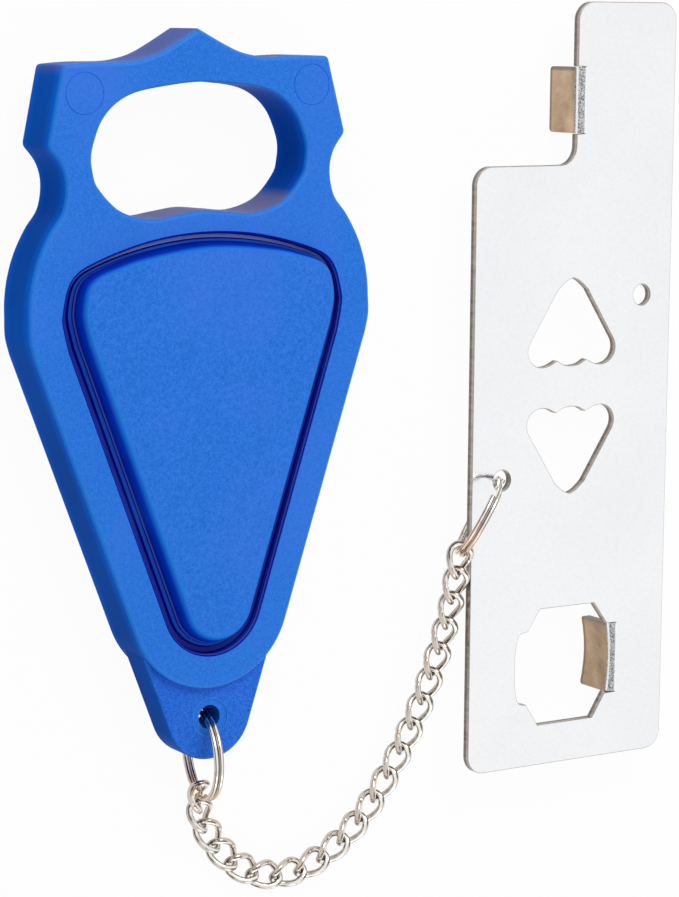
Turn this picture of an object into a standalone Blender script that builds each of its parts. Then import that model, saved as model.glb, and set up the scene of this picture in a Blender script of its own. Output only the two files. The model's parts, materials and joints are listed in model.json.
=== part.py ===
# Portable door lock: a grip handle and a flat steel plate, tied together by a short twisted chain
# with a split ring at each end. It lies as it was laid down: +Z up, +Y along the handle to its
# crown, and the origin in the middle of the handle's flat back.
import math

import bmesh
import bpy
import numpy as np
from mathutils import Matrix, Vector
from mathutils.geometry import tessellate_polygon

# Handle, in metres. Its outlines are shares of the half width and of the length, from the crown.
handle_width = 0.067
handle_length = 0.1286
body_thickness = 0.011
body_edge_round = 0.0008
body_corner_reach = 0.0011
body_end_radius = 0.0158
crown_height = 0.0643
rim_width = 0.0062
moat_depth = 0.0016
moat_edge_round = 0.0004
moat_end_width = 0.0037
pad_rise = 0.0028
tongue_length = 0.01335
tongue_thickness = 0.007
tongue_edge_round = 0.0006
tongue_end_radius = 0.0084
tongue_hole_radius = 0.00215
tongue_hole_inset = 0.0077
tongue_dish_radius = 0.0034
tongue_dish_depth = 0.0004

crown_shares = [(0, 0), (0.143, 0.0202), (0.239, 0.0319), (0.331, 0.0381), (0.427, 0.0408),
                (0.621, 0.0401), (0.772, 0.042)]
flare_end_share = (0.867, 0.1466)
flank_shares = [(0.867, 0.1466), (0.797, 0.1711), (0.773, 0.1987), (0.797, 0.2317), (0.87, 0.2574),
                (0.935, 0.288), (0.976, 0.3188), (0.996, 0.348), (1, 0.373), (1, 0.398), (0.979, 0.4222)]
finger_hole_shares = [(0, 0.0705), (0.233, 0.0754), (0.382, 0.0824), (0.558, 0.1143), (0.628, 0.161),
                      (0.594, 0.2037), (0.475, 0.2348), (0.307, 0.2481), (0.149, 0.2446), (0, 0.2407)]
moat_shares = [(0, 0.2722), (0.316, 0.2795), (0.624, 0.3017), (0.761, 0.3235), (0.813, 0.3663),
               (0.809, 0.3872), (0.785, 0.416)]
pad_shares = [(0, 0.2916), (0.367, 0.3009), (0.528, 0.3103), (0.639, 0.3196), (0.693, 0.3313),
              (0.716, 0.3523), (0.716, 0.3733), (0.69, 0.402)]
# Across the moat, from its outer wall (0) to the pad's edge (1), and up from its floor (0) to the
# pad's top (1).
pad_wall_shares = [(0.34, 0), (0.4, 0.14), (0.52, 0.18), (0.66, 0.55), (0.84, 0.88), (1, 1)]

# Plate, in metres from its upper left corner, across and down.
plate_corner = (0.06105, 0.06785)
plate_front = 0.00645
plate_turn = math.radians(-1.684)
plate_width = 0.0457
plate_height = 0.145
plate_thickness = 0.0016
arm_width = 0.023
shoulder_drop = 0.0303
plate_corner_radius = 0.0035
plate_hole_radius = 0.002
spare_hole_place = (0.03885, 0.0554)
chain_hole_place = (0.0068, 0.08906)
cutout_half_width = 0.01015
cutout_height = 0.01665
cutout_middle = 0.02255
cutout_mirror_drop = 0.0721
cutout_gap = 0.0078
window_top = 0.11458
window_left = 0.0106
window_right = 0.0321
window_height = 0.02257
claw_depth = 0.00885
claw_bend_radius = 0.0004
claw_corner_round = 0.0008
claw_relief = 0.0004
claw_corner_step = 0.3
upper_claw_drop = 0.0121
upper_claw_height = 0.01235
lower_claw_drop = 0.119
lower_claw_height = 0.0136
lower_claw_left = 0.0326
lower_claw_bow = 0.0009

# Half of a cut-out, its apex up: shares of the half width and of the height, down from the apex.
cutout_shares = [(0, 0), (0.12, 0.028), (0.22, 0.07), (0.34, 0.135), (0.901, 0.664), (0.975, 0.74),
                 (1, 0.808), (0.985, 0.87), (0.93, 0.93), (0.86, 0.966), (0.8, 0.985), (0.68, 1),
                 (0.52, 0.985), (0.335, 0.934), (0.17, 0.985), (0, 1)]
# The window, from its upper left corner and round by the right: shares of its width and height,
# before and after the claw's own edge.
window_start_shares = [(0.265, 0), (0.856, 0), (1, 0.187)]
window_end_shares = [(1, 0.79), (0.86, 1), (0.256, 1), (0.126, 0.812), (0.053, 0.794), (0.019, 0.736),
                     (0.002, 0.62), (0, 0.5), (0.002, 0.38), (0.023, 0.245), (0.053, 0.2),
                     (0.133, 0.183)]

# Split rings, in metres. Each is two turns of one wire.
ring_outer_diameter = 0.0166
ring_wire = 0.0008
ring_turn_spacing = 0.00123
ring_end_gap_angle = 0.55
ring_points_a_turn = 24
handle_ring_turn = math.radians(8)
handle_ring_drop = 0.0075
handle_ring_lift = 0.0004
handle_hook_angle = math.radians(20)
plate_ring_lean = (-0.3154, 0.3641, 0.8764)
plate_ring_drop_shares = (-0.6088, -0.786, 0.1074)
plate_ring_drop = 0.0081
plate_ring_slide = -0.0002
handle_ring_jog_place = math.radians(200)
plate_ring_jog_place = math.radians(25)

# Chain, in metres.
link_count = 21
link_pitch = 0.00515
link_wire = 0.0012
link_width = 0.0056
link_gap = 0.0003
link_twist = math.radians(-45)
link_points = 24
link_fullness = 0.88
handle_ring_seat = 0.0012
plate_ring_seat = 0.00139
handle_link_rolls = (math.radians(-30), math.radians(-10))
plate_link_rolls = (math.radians(5), math.radians(8), math.radians(1.4), math.radians(0.7))
plate_link_play = 0.00022
chain_rest_height = 0.00155
route_handle_heading = 0.262
route_plate_heading = 0.021
route_handle_reach = 0.0449
route_plate_reach = 0.0534
handle_rise_length = 0.018
handle_rise_power = 3
plate_rise_length = 0.048
plate_rise_power = 1.6

# How far a cutter runs past what it cuts, the bend from which an edge is shaded sharp, and the
# least and most that the chain's route is widened.
overrun = 0.001
sharp_angle = math.radians(30)
least_stretch = 0.3
most_stretch = 2.5

handle_half = handle_width / 2
body_end_reach = handle_length - tongue_length - body_end_radius
tongue_hole_reach = handle_length - tongue_hole_inset
table_height = plate_front - claw_depth
body_middle = body_thickness / 2
link_half_length = (link_pitch + link_wire + link_gap) / 2
link_half_width = (link_width - link_wire) / 2
ring_radius = (ring_outer_diameter - ring_wire) / 2


def make_material(name, colour, roughness, metallic):
    material = bpy.data.materials.new(name)
    material.use_nodes = True
    shader = material.node_tree.nodes["Principled BSDF"]
    shader.inputs["Base Color"].default_value = (*colour, 1)
    shader.inputs["Roughness"].default_value = roughness
    shader.inputs["Metallic"].default_value = metallic
    return material


def add_object(name, data, material=None):
    obj = bpy.data.objects.new(name, data)
    bpy.context.scene.collection.objects.link(obj)
    if material:
        data.materials.append(material)
    return obj


def smooth_run(points, steps, closed=False):
    """A smooth curve through the points, read at equal steps of its length."""
    given = np.array(points, float)
    if closed:
        padded = np.vstack([given[-1], given, given[:2]])
    else:
        padded = np.vstack([2 * given[0] - given[1], given, 2 * given[-1] - given[-2]])
    fine = []
    for a, b, c, d in zip(padded, padded[1:], padded[2:], padded[3:]):
        for t in np.linspace(0, 1, steps, endpoint=False):
            fine.append(b + (c - a) * t / 2 + (2 * a - 5 * b + 4 * c - d) * t * t / 2
                        + (3 * b - a - 3 * c + d) * t ** 3 / 2)
    fine.append(given[0] if closed else given[-1])
    fine = np.array(fine)
    travelled = np.concatenate([[0], np.cumsum(np.linalg.norm(np.diff(fine, axis=0), axis=1))])
    stops = np.linspace(0, travelled[-1], steps + 1)
    read = np.stack([np.interp(stops, travelled, fine[:, k]) for k in range(2)], axis=1)
    return [tuple(p) for p in (read[:-1] if closed else read)]


def corner_points(before, corner, after, reach, steps=3):
    """A small round bend that replaces a corner of an outline."""
    corner = Vector(corner)
    start = corner + (Vector(before) - corner).normalized() * reach
    end = corner + (Vector(after) - corner).normalized() * reach
    shares = [k / steps for k in range(steps + 1)]
    return [tuple(start * (1 - t) ** 2 + corner * 2 * t * (1 - t) + end * t * t) for t in shares]


def round_outline(corners, radius, steps=5):
    """A closed outline whose every corner is an arc of the radius."""
    points = []
    for k, corner in enumerate(corners):
        here = Vector(corner)
        before = (Vector(corners[k - 1]) - here).normalized()
        after = (Vector(corners[(k + 1) % len(corners)]) - here).normalized()
        half = before.angle(after) / 2
        centre = here + (before + after).normalized() * radius / math.sin(half)
        reach = radius / math.tan(half)
        start = here + before * reach - centre
        sweep = start.angle_signed(here + after * reach - centre)
        for step in range(steps + 1):
            angle = math.atan2(start.y, start.x) - sweep * step / steps
            points.append((centre.x + radius * math.cos(angle), centre.y + radius * math.sin(angle)))
    return points


def offset_loop(points, distance):
    """The closed outline moved outwards by the distance, each point along its own normal."""
    ring = np.array(points, float)
    ahead = np.roll(ring, -1, axis=0) - ring
    area = (ring[:, 0] * np.roll(ring[:, 1], -1) - np.roll(ring[:, 0], -1) * ring[:, 1]).sum()
    normals = np.stack([ahead[:, 1], -ahead[:, 0]], axis=1) * math.copysign(1, area)
    normals /= np.linalg.norm(normals, axis=1)[:, None]
    earlier = np.roll(normals, 1, axis=0)
    both = normals + earlier
    both /= (1 + (normals * earlier).sum(axis=1))[:, None]
    return ring + both * distance


def loft(rings, name):
    """A closed mesh through loops of (x, y) points, each at its own height, capped at both ends."""
    mesh = bmesh.new()
    rows = []
    for loop, height in rings:
        rows.append([mesh.verts.new((p[0], p[1], height)) for p in loop])
    for low, high in zip(rows, rows[1:]):
        for k in range(len(low)):
            j = (k + 1) % len(low)
            mesh.faces.new((low[k], low[j], high[j], high[k]))
    mesh.faces.new(rows[0])
    mesh.faces.new(rows[-1])
    return smooth_mesh(mesh, name)


def smooth_mesh(mesh, name):
    """The finished mesh, its round faces shaded smooth and its corners sharp."""
    bmesh.ops.recalc_face_normals(mesh, faces=mesh.faces)
    data = bpy.data.meshes.new(name)
    mesh.to_mesh(data)
    mesh.free()
    data.shade_smooth()
    data.set_sharp_from_angle(angle=sharp_angle)
    return data


def cut_or_join(target, data, operation):
    tool = add_object(target.name + "_" + data.name, data)
    tool.hide_render = True
    tool.display_type = "WIRE"
    modifier = target.modifiers.new(data.name, "BOOLEAN")
    modifier.operation = operation
    modifier.solver = "EXACT"
    modifier.object = tool


def mirrored(half):
    """The whole outline from its right half, which runs from the middle line to the middle line."""
    return list(half) + [(-x, y) for x, y in reversed(half[1:-1])]


def handle_points(shares):
    return [(u * handle_half, crown_height - v * handle_length) for u, v in shares]


def tangent_end(last, radius, steps=8):
    """The straight taper from a point to the round lower end, then the end itself."""
    centre = Vector((0, crown_height - body_end_reach))
    away = Vector(last) - centre
    lean = math.atan2(away.y, away.x) - math.acos(radius / away.length)
    angles = [lean + (-math.pi / 2 - lean) * k / steps for k in range(steps + 1)]
    return [(centre.x + radius * math.cos(a), centre.y + radius * math.sin(a)) for a in angles]


def rounded_rings(outline, low, high, radius, outwards=-1, steps=3):
    """Rings of an upright wall whose two edges are rounded, outwards or inwards."""
    rings = []
    for step in range(steps + 1):
        turn = math.pi / 2 * step / steps
        rings.append((offset_loop(outline, outwards * radius * (1 - math.sin(turn))),
                      low + radius * (1 - math.cos(turn))))
    upper = [(loop, high - (height - low)) for loop, height in reversed(rings)]
    return rings + upper


def round_cutter(centre, rings, name, sides=32):
    """A turned cutter: rings of (radius, height) about an upright line."""
    turns = [2 * math.pi * k / sides for k in range(sides)]
    return loft([([(centre[0] + r * math.cos(t), centre[1] + r * math.sin(t)) for t in turns], z)
                 for r, z in rings], name)


def make_handle(material):
    crown = smooth_run(handle_points(crown_shares), 12)
    flare = handle_points([flare_end_share])[0]
    flank = smooth_run(handle_points(flank_shares), 18)
    half = crown[:-1] + corner_points(crown[-2], crown[-1], flare, body_corner_reach)
    half += corner_points(crown[-1], flare, flank[1], body_corner_reach) + flank[1:]
    outline = mirrored(half + tangent_end(flank[-1], body_end_radius))
    body = add_object("handle", loft(rounded_rings(outline, 0, body_thickness, body_edge_round), "body"),
                      material)

    end = Vector(tangent_end(flank[-1], body_end_radius)[0])
    slope = (Vector(flank[-1]) - end).normalized()
    tongue_centre = crown_height - handle_length + tongue_end_radius
    lean = math.atan2(-slope.x, slope.y)
    angles = [lean - (math.pi / 2 + lean) * k / 8 for k in range(9)]
    tongue = [(tongue_end_radius * math.cos(a), tongue_centre + tongue_end_radius * math.sin(a))
              for a in angles]
    root = crown_height - body_end_reach
    climb = (root - tongue[0][1]) / slope.y
    tongue = [(0, root), (tongue[0][0] + slope.x * climb, root)] + tongue
    low = body_middle - tongue_thickness / 2
    cut_or_join(body, loft(rounded_rings(mirrored(tongue), low, low + tongue_thickness,
                                         tongue_edge_round), "tongue"), "UNION")

    moat_top = smooth_run(handle_points(moat_shares), 16)
    pad_top = smooth_run(handle_points(pad_shares), 16)
    moat_end_radius = body_end_radius - rim_width
    moat = mirrored(moat_top + tangent_end(moat_top[-1], moat_end_radius))
    pad = mirrored(pad_top + tangent_end(pad_top[-1], moat_end_radius - moat_end_width))
    floor = body_thickness - moat_depth
    brim = offset_loop(moat, moat_edge_round)
    pocket = [(moat, floor), (moat, body_thickness - moat_edge_round), (brim, body_thickness),
              (brim, body_thickness + overrun)]
    cut_or_join(body, loft(pocket, "moat"), "DIFFERENCE")
    outer, inner = np.array(moat), np.array(pad)
    top = body_thickness + pad_rise
    rings = [(outer + (inner - outer) * pad_wall_shares[0][0], body_middle)]
    for across, rise in pad_wall_shares:
        rings.append((outer + (inner - outer) * across, floor + (top - floor) * rise))
    cut_or_join(body, loft(rings, "pad"), "UNION")

    hole = handle_points(finger_hole_shares)
    hole = smooth_run(mirrored(hole), 60, closed=True)
    cutter = [(loop, height) for loop, height in
              rounded_rings(hole, 0, body_thickness, body_edge_round, outwards=1)]
    cutter = [(cutter[0][0], -overrun)] + cutter + [(cutter[-1][0], body_thickness + overrun)]
    cut_or_join(body, loft(cutter, "finger_hole"), "DIFFERENCE")

    eye = (0, crown_height - tongue_hole_reach)
    cut_or_join(body, round_cutter(eye, [(tongue_hole_radius, -overrun),
                                         (tongue_hole_radius, body_thickness)], "eye"), "DIFFERENCE")
    for side, name in ((-1, "back_dish"), (1, "front_dish")):
        face = body_middle + side * tongue_thickness / 2
        heights = sorted((face - side * tongue_dish_depth, face + side * overrun))
        cut_or_join(body, round_cutter(eye, [(tongue_dish_radius, z) for z in heights], name),
                    "DIFFERENCE")
    return body


def claw_strip(mesh, edge, out, width, bow):
    """Bends a tab backwards from an edge of the sheet. The edge is rows of (front, back) points."""
    outer_radius = claw_bend_radius + plate_thickness
    count = len(edge) - 1
    rows = [edge]
    profile = []
    for step in range(1, 5):
        turn = math.pi / 2 * step / 4
        profile.append((outer_radius * math.sin(turn), outer_radius * (1 - math.cos(turn)),
                        claw_bend_radius * math.sin(turn), outer_radius - claw_bend_radius
                        * math.cos(turn), step / 4))
    profile.append((outer_radius, claw_depth, claw_bend_radius, claw_depth, 1))
    for outer_out, outer_down, inner_out, inner_down, grown in profile:
        row = []
        for k, (front, back) in enumerate(edge):
            share = k / count
            side = min(share, 1 - share) * width
            lift = 0
            if outer_down == claw_depth and side < claw_corner_round:
                short = claw_corner_round - side
                lift = claw_corner_round - math.sqrt(max(claw_corner_round ** 2 - short ** 2, 0))
            shift = bow * grown * (1 - (2 * share - 1) ** 2)
            base = Vector((front.co.x, front.co.y, 0))
            pair = []
            for along, down in ((outer_out, outer_down), (inner_out, inner_down)):
                spot = base + out * (along - shift)
                pair.append(mesh.verts.new((spot.x, spot.y, front.co.z - down + lift)))
            row.append(pair)
        rows.append(row)
    for near, far in zip(rows, rows[1:]):
        for k in range(count):
            for face in (0, 1):
                mesh.faces.new((near[k][face], near[k + 1][face], far[k + 1][face], far[k][face]))
        for k in (0, count):
            mesh.faces.new((near[k][0], near[k][1], far[k][1], far[k][0]))
    last = rows[-1]
    for k in range(count):
        mesh.faces.new((last[k][0], last[k + 1][0], last[k + 1][1], last[k][1]))


def claw_columns(start, height):
    """Places along a claw: close together at its rounded corners, and even between them."""
    inset = [0, claw_corner_round * claw_corner_step, claw_corner_round]
    middle = [height * k / 6 for k in range(1, 6)]
    places = inset + middle + [height - d for d in reversed(inset)]
    return [start + p for p in places]


def plate_loops():
    """The sheet's outline and its openings, (across, down), and the edges that carry the claws."""
    bend = claw_bend_radius + plate_thickness
    arm_left = plate_width - arm_width
    columns = claw_columns(upper_claw_drop, upper_claw_height)
    notch = arm_left + bend
    top, bottom = columns[0] - claw_relief, columns[-1] + claw_relief
    corners = [(arm_left, 0), (plate_width, 0), (plate_width, plate_height), (0, plate_height),
               (0, shoulder_drop), (arm_left, shoulder_drop)]
    outline = round_outline(corners, plate_corner_radius)
    place = len(outline)
    outline += [(arm_left, bottom), (notch, bottom)]
    upper = list(range(place + 2, place + 2 + len(columns)))
    outline += [(notch, v) for v in reversed(columns)]
    outline += [(notch, top), (arm_left, top)]

    span = window_right - window_left
    start = [(window_left + u * span, window_top + v * window_height) for u, v in window_start_shares]
    end = [(window_left + u * span, window_top + v * window_height) for u, v in window_end_shares]
    columns = claw_columns(lower_claw_drop, lower_claw_height)
    notch = lower_claw_left + bend
    window = start + [(window_right, columns[0] - claw_relief), (notch, columns[0] - claw_relief)]
    lower = list(range(len(window), len(window) + len(columns)))
    window += [(notch, v) for v in columns]
    window += [(notch, columns[-1] + claw_relief), (window_right, columns[-1] + claw_relief)] + end

    openings = []
    half = [(u * cutout_half_width, v * cutout_height) for u, v in cutout_shares]
    whole = mirrored(half)
    upper_apex = cutout_mirror_drop - cutout_gap / 2 - cutout_height
    lower_apex = cutout_mirror_drop + cutout_gap / 2 + cutout_height
    openings.append([(cutout_middle + x, upper_apex + y) for x, y in whole])
    openings.append([(cutout_middle + x, lower_apex - y) for x, y in whole])
    for centre in (spare_hole_place, chain_hole_place):
        turns = [2 * math.pi * k / 20 for k in range(20)]
        openings.append([(centre[0] + plate_hole_radius * math.cos(t),
                          centre[1] + plate_hole_radius * math.sin(t)) for t in turns])
    return [outline, window] + openings, [(0, upper, upper_claw_height, 0),
                                          (1, lower, lower_claw_height, lower_claw_bow)]


def plate_world(across, down, back=0):
    turned = Matrix.Rotation(plate_turn, 3, "Z") @ Vector((across, -down, 0))
    return Vector((*plate_corner, plate_front)) + turned - Vector((0, 0, back))


def make_plate(origin, material):
    """The sheet about its chain hole, which is where it swivels, with both claws bent back."""
    loops, claws = plate_loops()
    mesh = bmesh.new()
    fronts, backs = [], []
    for loop in loops:
        spots = [plate_world(*p) - origin for p in loop]
        fronts.append([mesh.verts.new(p) for p in spots])
        backs.append([mesh.verts.new(p - Vector((0, 0, plate_thickness))) for p in spots])
    flat = [[Vector((p[0], p[1], 0)) for p in loop] for loop in loops]
    all_fronts = [v for row in fronts for v in row]
    all_backs = [v for row in backs for v in row]
    for a, b, c in tessellate_polygon(flat):
        mesh.faces.new((all_fronts[a], all_fronts[b], all_fronts[c]))
        mesh.faces.new((all_backs[c], all_backs[b], all_backs[a]))
    bent = {(place, k) for place, marks, width, bow in claws for k in marks[:-1]}
    for place in range(len(loops)):
        count = len(loops[place])
        for k in range(count):
            if (place, k) in bent:
                continue
            j = (k + 1) % count
            mesh.faces.new((fronts[place][k], fronts[place][j], backs[place][j], backs[place][k]))
    out = Matrix.Rotation(plate_turn, 3, "Z") @ Vector((-1, 0, 0))
    for place, marks, width, bow in claws:
        claw_strip(mesh, [(fronts[place][k], backs[place][k]) for k in marks], out, width, bow)
    plate = add_object("plate", smooth_mesh(mesh, "plate"), material)
    plate.location = origin


def tube(name, points, wire, cyclic, material):
    curve = bpy.data.curves.new(name, "CURVE")
    curve.dimensions = "3D"
    spline = curve.splines.new("POLY")
    spline.points.add(len(points) - 1)
    for spot, point in zip(spline.points, points):
        spot.co = (*point, 1)
    spline.use_cyclic_u = cyclic
    curve.bevel_depth = wire / 2
    curve.bevel_resolution = 1
    curve.use_fill_caps = not cyclic
    curve.materials.append(material)
    return curve


def ring_points():
    """Two turns of the ring's wire about its own Z axis, the step between them at the end."""
    total = 4 * math.pi - ring_end_gap_angle
    count = 2 * ring_points_a_turn
    points = []
    for k in range(count + 1):
        angle = total * k / count
        share = min(max((angle - 2 * math.pi + ring_end_gap_angle) / ring_end_gap_angle, 0), 1)
        level = ring_turn_spacing * (share * share * (3 - 2 * share) - 1 / 2)
        points.append((ring_radius * math.cos(angle), ring_radius * math.sin(angle), level))
    return points


def least_gap(points, wire):
    """The least gap between stretches of a wire that aren't next to each other."""
    spots = np.array(points)
    apart = np.linalg.norm(spots[:, None] - spots[None], axis=2)
    near = ring_points_a_turn // 3
    far = np.abs(np.subtract.outer(np.arange(len(spots)), np.arange(len(spots)))) > near
    return apart[far].min() - wire


def ring_frame(axis, towards, jog_place):
    """Axes of a ring: Z on its own axis, and its step turned away from the given direction."""
    up = Vector(axis).normalized()
    side = (Vector(towards) - up * Vector(towards).dot(up)).normalized()
    turned = Matrix.Rotation(jog_place, 3, up) @ side
    return Matrix((turned, up.cross(turned), up)).transposed()


def full_wave(value):
    """A sine's value, held nearer to its peaks, so that an oval drawn with it is fuller."""
    return math.copysign(abs(value) ** link_fullness, value)


def link_curve_points():
    """A twisted oval along X. It starts one pivot away, so its origin lies on its hinge."""
    points = []
    for k in range(link_points):
        angle = 2 * math.pi * k / link_points
        along = link_half_length * full_wave(math.cos(angle))
        width = link_half_width * full_wave(math.sin(angle))
        twist = link_twist * along / link_half_length
        points.append((link_pitch / 2 + along, width * math.cos(twist), width * math.sin(twist)))
    return points


def heading(angle, slope=0):
    """A direction down the page, turned towards the plate, and climbing by the slope."""
    return Vector((math.sin(angle), -math.cos(angle), slope)).normalized()


def end_slope(hook, rise_length, rise_power):
    return rise_power * (hook.z - table_height - chain_rest_height) / rise_length


def route(start, end, stretch, fine=400):
    """The chain's line on the table: a cubic between the two rings, which rises at both ends."""
    share = np.linspace(0, 1, fine)[:, None]
    a, b = np.array(start), np.array(end)
    c = a + np.array(heading(route_handle_heading)) * route_handle_reach * stretch
    d = b + np.array(heading(route_plate_heading)) * route_plate_reach * stretch
    line = ((1 - share) ** 3 * a + 3 * (1 - share) ** 2 * share * c
            + 3 * (1 - share) * share ** 2 * d + share ** 3 * b)
    travelled = np.concatenate([[0], np.cumsum(np.linalg.norm(np.diff(line[:, :2], axis=0), axis=1))])
    rest = table_height + chain_rest_height
    near = np.clip(1 - travelled / handle_rise_length, 0, 1) ** handle_rise_power
    far = np.clip(1 - (travelled[-1] - travelled) / plate_rise_length, 0, 1) ** plate_rise_power
    line[:, 2] = rest + (a[2] - rest) * near + (b[2] - rest) * far
    return line


def pivots_on(line):
    """Places one pitch apart along the line, and how much of the last pitch is left over."""
    places = [line[0]]
    for before, after in zip(line, line[1:]):
        while np.linalg.norm(after - places[-1]) >= link_pitch and len(places) <= link_count:
            low, high = 0.0, 1.0
            for halving in range(30):
                middle = (low + high) / 2
                spot = before + (after - before) * middle
                if np.linalg.norm(spot - places[-1]) < link_pitch:
                    low = middle
                else:
                    high = middle
            places.append(before + (after - before) * high)
    return places


def chain_pivots(start, end):
    """Pivots that use up the chain exactly: the route is widened until its last lies on the end."""
    low, high = least_stretch, most_stretch
    for halving in range(40):
        stretch = (low + high) / 2
        places = pivots_on(route(start, end, stretch))
        if len(places) > link_count:
            high = stretch
        else:
            low = stretch
    return pivots_on(route(start, end, high))


def link_frame(start, end, roll):
    along = Vector(end - start).normalized()
    side = Vector((0, 0, 1)).cross(along).normalized()
    up = along.cross(side)
    turned = Matrix.Rotation(roll, 3, along)
    return Matrix((along, turned @ side, turned @ up)).transposed()


for leftover in list(bpy.data.objects):
    bpy.data.objects.remove(leftover, do_unlink=True)

blue = make_material("blue_plastic", (0.02, 0.12, 0.42), 0.42, 0)
steel = make_material("plate_steel", (0.62, 0.61, 0.6), 0.34, 1)
nickel = make_material("bright_nickel", (0.68, 0.66, 0.63), 0.22, 1)

handle = make_handle(blue)

eye = Vector((0, crown_height - tongue_hole_reach, body_middle))
handle_ring_axis = Vector((math.cos(handle_ring_turn), 0, math.sin(handle_ring_turn)))
handle_ring_centre = eye + Vector((0, -handle_ring_drop, handle_ring_lift))
back = handle_ring_axis.cross(Vector((0, 1, 0)))
hook_direction = Vector((0, -math.cos(handle_hook_angle), 0)) - back * math.sin(handle_hook_angle)
handle_hook = handle_ring_centre + hook_direction * ring_radius

drop = Vector(plate_ring_drop_shares).normalized()
plate_ring_axis = Vector(plate_ring_lean).cross(drop).normalized()
chain_hole = plate_world(*chain_hole_place, plate_thickness / 2)
plate_ring_centre = chain_hole + drop * plate_ring_drop + plate_ring_axis * plate_ring_slide
plate_hook = plate_ring_centre + drop * ring_radius

wire_points = ring_points()
print("ring: least gap between turns", round(least_gap(wire_points, ring_wire) * 1000, 3), "mm")
towards_crown = Vector((0, 1, 0))
ring_places = (("ring_handle", handle_ring_centre, handle_ring_axis, towards_crown,
                handle_ring_jog_place),
               ("ring_plate", plate_ring_centre, plate_ring_axis, -drop, plate_ring_jog_place))
for name, centre, axis, towards, jog_place in ring_places:
    ring = add_object(name, tube(name, wire_points, ring_wire, False, nickel))
    ring.matrix_world = Matrix.Translation(centre) @ ring_frame(axis, towards, jog_place).to_4x4()

handle_slope = end_slope(handle_hook, handle_rise_length, handle_rise_power)
plate_slope = end_slope(plate_hook, plate_rise_length, plate_rise_power)
handle_link_reach = link_pitch / 2 - handle_ring_seat
plate_link_reach = link_pitch / 2 - plate_ring_seat
chain_start = handle_hook - handle_link_reach * heading(route_handle_heading, -handle_slope)
chain_end = plate_hook - plate_link_reach * heading(route_plate_heading, -plate_slope)
chain_end -= plate_link_play * heading(route_plate_heading + math.pi / 2)
pivots = chain_pivots(chain_start, chain_end)
flat_links = link_count - len(handle_link_rolls) - len(plate_link_rolls)
rolls = [*handle_link_rolls, *[0] * flat_links, *plate_link_rolls]
link_data = tube("link", link_curve_points(), link_wire, True, nickel)
for number in range(link_count):
    link = add_object("link_%02d" % (number + 1), link_data)
    frame = link_frame(pivots[number], pivots[number + 1], rolls[number])
    link.matrix_world = Matrix.Translation(Vector(pivots[number])) @ frame.to_4x4()

make_plate(chain_hole, steel)
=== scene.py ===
import json
import math

import bmesh
import bpy
import numpy as np
from mathutils import Matrix, Vector
from mathutils.geometry import tessellate_polygon

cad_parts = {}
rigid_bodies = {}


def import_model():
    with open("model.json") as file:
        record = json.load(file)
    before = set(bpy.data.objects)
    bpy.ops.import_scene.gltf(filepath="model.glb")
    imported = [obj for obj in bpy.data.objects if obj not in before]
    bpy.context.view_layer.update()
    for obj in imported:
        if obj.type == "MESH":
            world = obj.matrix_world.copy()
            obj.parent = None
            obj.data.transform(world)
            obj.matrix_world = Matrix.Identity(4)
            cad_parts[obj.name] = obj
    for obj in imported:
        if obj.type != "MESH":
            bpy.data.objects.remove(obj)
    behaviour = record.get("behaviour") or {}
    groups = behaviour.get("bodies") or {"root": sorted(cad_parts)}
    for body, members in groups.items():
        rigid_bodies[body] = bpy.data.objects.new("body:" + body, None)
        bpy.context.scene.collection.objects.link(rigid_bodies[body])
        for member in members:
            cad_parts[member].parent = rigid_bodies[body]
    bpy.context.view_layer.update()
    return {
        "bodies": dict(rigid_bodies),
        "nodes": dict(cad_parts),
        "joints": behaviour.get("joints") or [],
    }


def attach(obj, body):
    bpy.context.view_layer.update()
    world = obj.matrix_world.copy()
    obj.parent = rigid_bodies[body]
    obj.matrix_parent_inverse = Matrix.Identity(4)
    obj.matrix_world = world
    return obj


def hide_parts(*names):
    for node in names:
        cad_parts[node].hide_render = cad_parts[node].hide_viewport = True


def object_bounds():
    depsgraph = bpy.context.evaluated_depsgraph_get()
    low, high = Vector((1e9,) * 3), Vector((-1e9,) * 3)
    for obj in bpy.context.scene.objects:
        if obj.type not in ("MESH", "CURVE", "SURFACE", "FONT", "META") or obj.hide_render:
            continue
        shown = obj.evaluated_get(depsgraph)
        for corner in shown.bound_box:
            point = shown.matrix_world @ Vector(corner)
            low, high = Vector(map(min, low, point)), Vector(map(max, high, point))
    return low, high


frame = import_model()
joints = {joint["name"]: joint for joint in frame["joints"]}
print("frame loaded:", len(frame["nodes"]), "nodes")

# Everything is in metres, in the frame's own axes: +Z up from the table, +Y to the crown.


def wireMaths(operation, reflected=False):
    # an operator's method, which adds its Math node
    def method(wire, *other):
        terms = (*other, wire) if reflected else (wire, *other)
        return wire.graph.maths(operation, *terms)
    return method


class Wire:
    # one output of a node; Python's operators on it add Math nodes
    def __init__(self, graph, socket):
        self.graph = graph
        self.socket = socket

    __add__ = __radd__ = wireMaths("ADD")
    __mul__ = __rmul__ = wireMaths("MULTIPLY")
    __sub__ = wireMaths("SUBTRACT")
    __rsub__ = wireMaths("SUBTRACT", reflected=True)
    __truediv__ = wireMaths("DIVIDE")
    __pow__ = wireMaths("POWER")
    __lt__ = wireMaths("LESS_THAN")
    __abs__ = wireMaths("ABSOLUTE")

    def limited(self):
        return self.graph.add("ShaderNodeClamp", {}, {"Value": self})


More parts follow.
